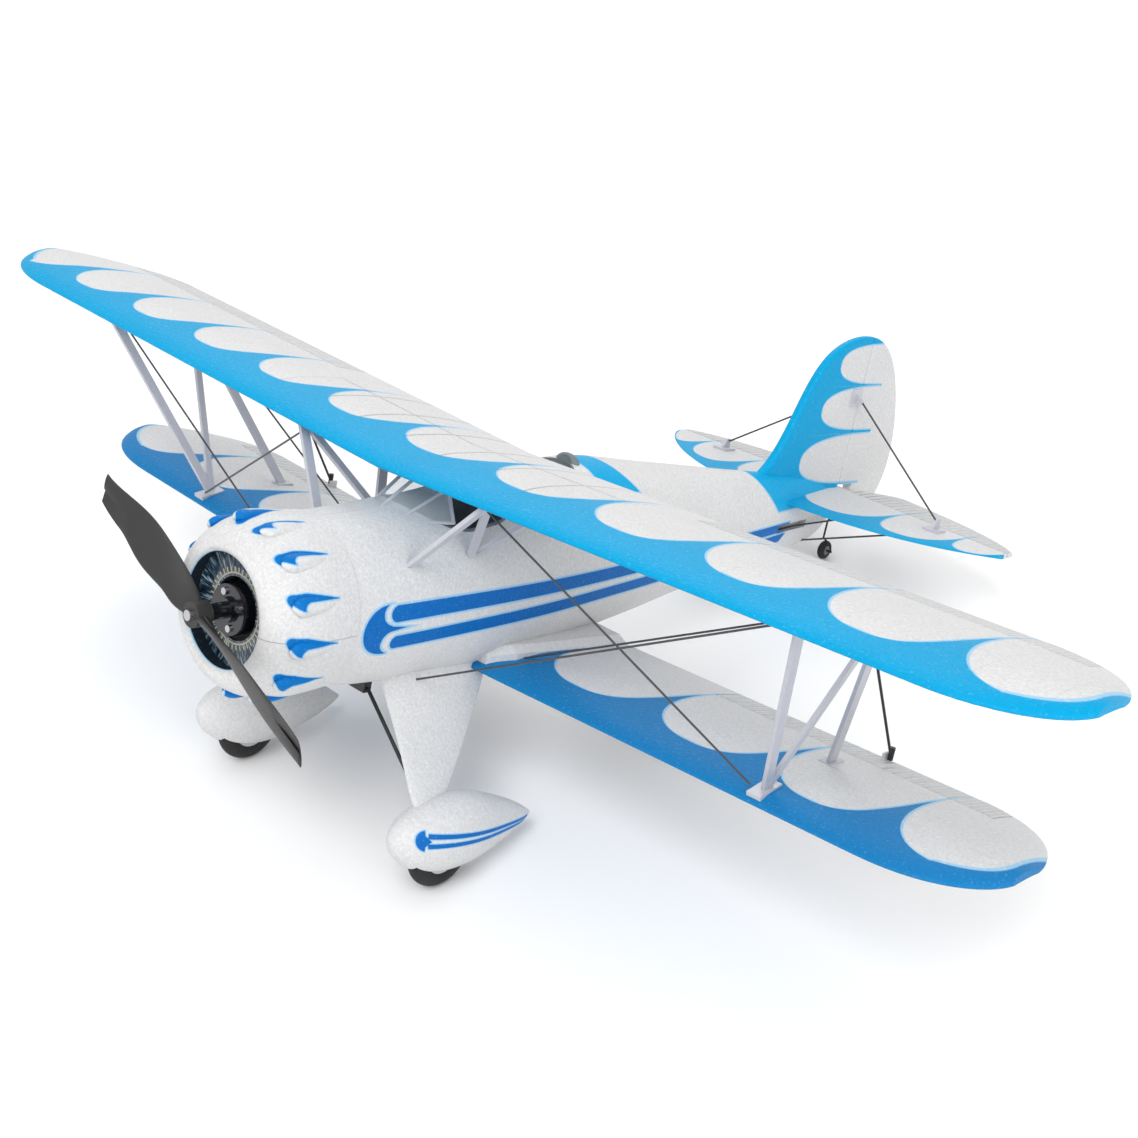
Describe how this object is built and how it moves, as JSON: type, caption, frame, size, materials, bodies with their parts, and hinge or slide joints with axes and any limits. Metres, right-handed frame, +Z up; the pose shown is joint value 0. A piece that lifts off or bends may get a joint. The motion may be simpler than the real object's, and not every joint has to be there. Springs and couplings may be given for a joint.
{
  "type": "rc biplane",
  "caption": "Small radio-controlled foam biplane with radial-style cowl, spatted main wheels, N-struts, rigging, hinged control surfaces and spinning propeller.",
  "frame": {"origin": "centre of the footprint at floor level, standing on the three wheels", "axes": "+X to the port wing tip, -Y towards the nose, +Z up"},
  "size_m": [0.548, 0.4244, 0.1545],
  "materials": {
    "white_foam": "pearl moulded foam",
    "white_plastic": "satin",
    "black_plastic": "matte",
    "clear_plastic": "clear",
    "carbon": "satin",
    "steel": "satin",
    "black_metal": "gloss",
    "copper": "wound",
    "tyre": "matte",
    "grey_plastic": "satin",
    "printed_disc": "printed",
    "battery_wrap": "film",
    "board": "lacquer"
  },
  "bodies": {
    "airframe": {"cockpit_tubs": "black_plastic", "fuselage_left": "white_foam", "fuselage_right": "white_foam", "stabilizer": "white_foam", "fin": "white_foam", "cowl": "white_foam", "dummy_engine_disc": "printed_disc", "motor_mount": "black_plastic", "motor_mount_screws": "steel", "motor_stator": "copper", "gear_wire": "steel", "gear_wire_clamp": "white_plastic", "gear_legs": "white_foam", "wheel_pants": "white_foam", "axle_collars": "black_plastic", "interplane_struts": "white_plastic", "cabane_struts": "white_plastic", "wing_root_fairings": "white_foam", "windscreen_frame": "white_plastic", "windscreen_panes": "clear_plastic", "headrest": "black_plastic", "flying_wires": "carbon", "landing_wires": "carbon", "tail_brace_brackets": "white_plastic", "tail_braces": "carbon", "aileron_servos": "black_plastic", "upper_wing": "white_foam", "lower_wing_left": "white_foam", "lower_wing_right": "white_foam", "radio_tray": "carbon", "battery": "battery_wrap", "receiver_speed_control": "board"},
    "propeller_unit": {"motor_bell": "black_metal", "prop_adapter": "black_metal", "bell_screws": "steel", "motor_shaft": "steel", "propeller": "black_plastic", "prop_screw": "steel"},
    "wheel_left": {"tyre_left": "tyre", "wheel_hub_left": "white_plastic"},
    "wheel_right": {"tyre_right": "tyre", "wheel_hub_right": "white_plastic"},
    "rudder_unit": {"rudder": "white_foam", "tail_wheel_leg": "steel", "rudder_horn": "white_plastic"},
    "tail_wheel": {"tail_tyre": "tyre", "tail_wheel_hub": "grey_plastic"},
    "elevator_unit": {"elevator": "white_foam", "elevator_horn": "white_plastic"},
    "elevator_rod": {"elevator_pushrod": "steel"},
    "rudder_rod": {"rudder_pushrod": "steel"},
    "hatch": {"battery_hatch": "white_foam"},
    "upper_aileron_left": {"upper_aileron_left": "white_foam"},
    "lower_aileron_left": {"lower_aileron_left": "white_foam"},
    "link_left": {"aileron_link_left": "black_plastic"},
    "aileron_rod_left": {"aileron_pushrod_left": "steel"},
    "upper_aileron_right": {"upper_aileron_right": "white_foam"},
    "lower_aileron_right": {"lower_aileron_right": "white_foam"},
    "link_right": {"aileron_link_right": "black_plastic"},
    "aileron_rod_right": {"aileron_pushrod_right": "steel"}
  },
  "joints": [
    {"name": "propeller_spin", "type": "hinge", "parent": "airframe", "child": "propeller_unit", "pos_m": [0, -0.19315, 0.10909], "axis": [0, -0.9695, 0.245], "continuous": true},
    {"name": "wheel_spin_left", "type": "hinge", "parent": "airframe", "child": "wheel_left", "pos_m": [0.058, -0.1491, 0.014], "axis": [1, 0, 0], "continuous": true},
    {"name": "wheel_spin_right", "type": "hinge", "parent": "airframe", "child": "wheel_right", "pos_m": [-0.058, -0.1491, 0.014], "axis": [1, 0, 0], "continuous": true},
    {"name": "rudder_hinge", "type": "hinge", "parent": "airframe", "child": "rudder_unit", "pos_m": [0, 0.17343, 0.05772], "axis": [0, 0.245, 0.9695], "range_deg": [-25, 25]},
    {"name": "tail_wheel_spin", "type": "hinge", "parent": "rudder_unit", "child": "tail_wheel", "pos_m": [0, 0.16367, 0.0048], "axis": [1, 0, 0], "continuous": true},
    {"name": "elevator_hinge", "type": "hinge", "parent": "airframe", "child": "elevator_unit", "pos_m": [0, 0.16783, 0.03902], "axis": [1, 0, 0], "range_deg": [-22, 22]},
    {"name": "lower_aileron_hinge_left", "type": "hinge", "parent": "airframe", "child": "lower_aileron_left", "pos_m": [0.15, -0.03403, 0.0496], "axis": [0.999, 0.0107, 0.0423], "range_deg": [-20, 20]},
    {"name": "upper_aileron_hinge_left", "type": "hinge", "parent": "airframe", "child": "upper_aileron_left", "pos_m": [0.15, -0.06118, 0.13684], "axis": [0.999, 0.0107, 0.0423], "range_deg": [-20, 20]},
    {"name": "aileron_link_pivot_left", "type": "hinge", "parent": "lower_aileron_left", "child": "link_left", "pos_m": [0.1636, -0.01928, 0.04613], "axis": [0.999, 0.0107, 0.0423], "range_deg": [-20, 20]},
    {"name": "aileron_rod_slide_left", "type": "slide", "parent": "airframe", "child": "aileron_rod_left", "axis": [0, 0.9695, -0.245], "range_m": [-0.00289, 0.00289]},
    {"name": "lower_aileron_hinge_right", "type": "hinge", "parent": "airframe", "child": "lower_aileron_right", "pos_m": [-0.15, -0.03403, 0.0496], "axis": [0.999, -0.0107, -0.0423], "range_deg": [-20, 20]},
    {"name": "upper_aileron_hinge_right", "type": "hinge", "parent": "airframe", "child": "upper_aileron_right", "pos_m": [-0.15, -0.06118, 0.13684], "axis": [0.999, -0.0107, -0.0423], "range_deg": [-20, 20]},
    {"name": "aileron_link_pivot_right", "type": "hinge", "parent": "lower_aileron_right", "child": "link_right", "pos_m": [-0.1636, -0.01928, 0.04613], "axis": [0.999, -0.0107, -0.0423], "range_deg": [-20, 20]},
    {"name": "aileron_rod_slide_right", "type": "slide", "parent": "airframe", "child": "aileron_rod_right", "axis": [0, 0.9695, -0.245], "range_m": [-0.00289, 0.00289]},
    {"name": "elevator_rod_slide", "type": "slide", "parent": "airframe", "child": "elevator_rod", "axis": [0, 0.9695, -0.245], "range_m": [-0.00567, 0.00567]},
    {"name": "rudder_rod_slide", "type": "slide", "parent": "airframe", "child": "rudder_rod", "axis": [0, 0.9695, -0.245], "range_m": [-0.00403, 0.00403]},
    {"name": "hatch_slide", "type": "slide", "parent": "airframe", "child": "hatch", "axis": [0, -0.245, -0.9695], "range_m": [0, 0.03]}
  ],
  "couplings": [
    {"joint": "lower_aileron_hinge_right", "follows": "lower_aileron_hinge_left", "ratio": -1},
    {"joint": "upper_aileron_hinge_left", "follows": "lower_aileron_hinge_left", "ratio": 1},
    {"joint": "upper_aileron_hinge_right", "follows": "lower_aileron_hinge_left", "ratio": -1},
    {"joint": "aileron_link_pivot_left", "follows": "lower_aileron_hinge_left", "ratio": -1},
    {"joint": "aileron_link_pivot_right", "follows": "lower_aileron_hinge_left", "ratio": 1},
    {"joint": "aileron_rod_slide_left", "follows": "lower_aileron_hinge_left", "m_per_rad": 0.008},
    {"joint": "aileron_rod_slide_right", "follows": "lower_aileron_hinge_left", "m_per_rad": -0.008},
    {"joint": "elevator_rod_slide", "follows": "elevator_hinge", "m_per_rad": 0.0145},
    {"joint": "rudder_rod_slide", "follows": "rudder_hinge", "m_per_rad": -0.009}
  ]
}
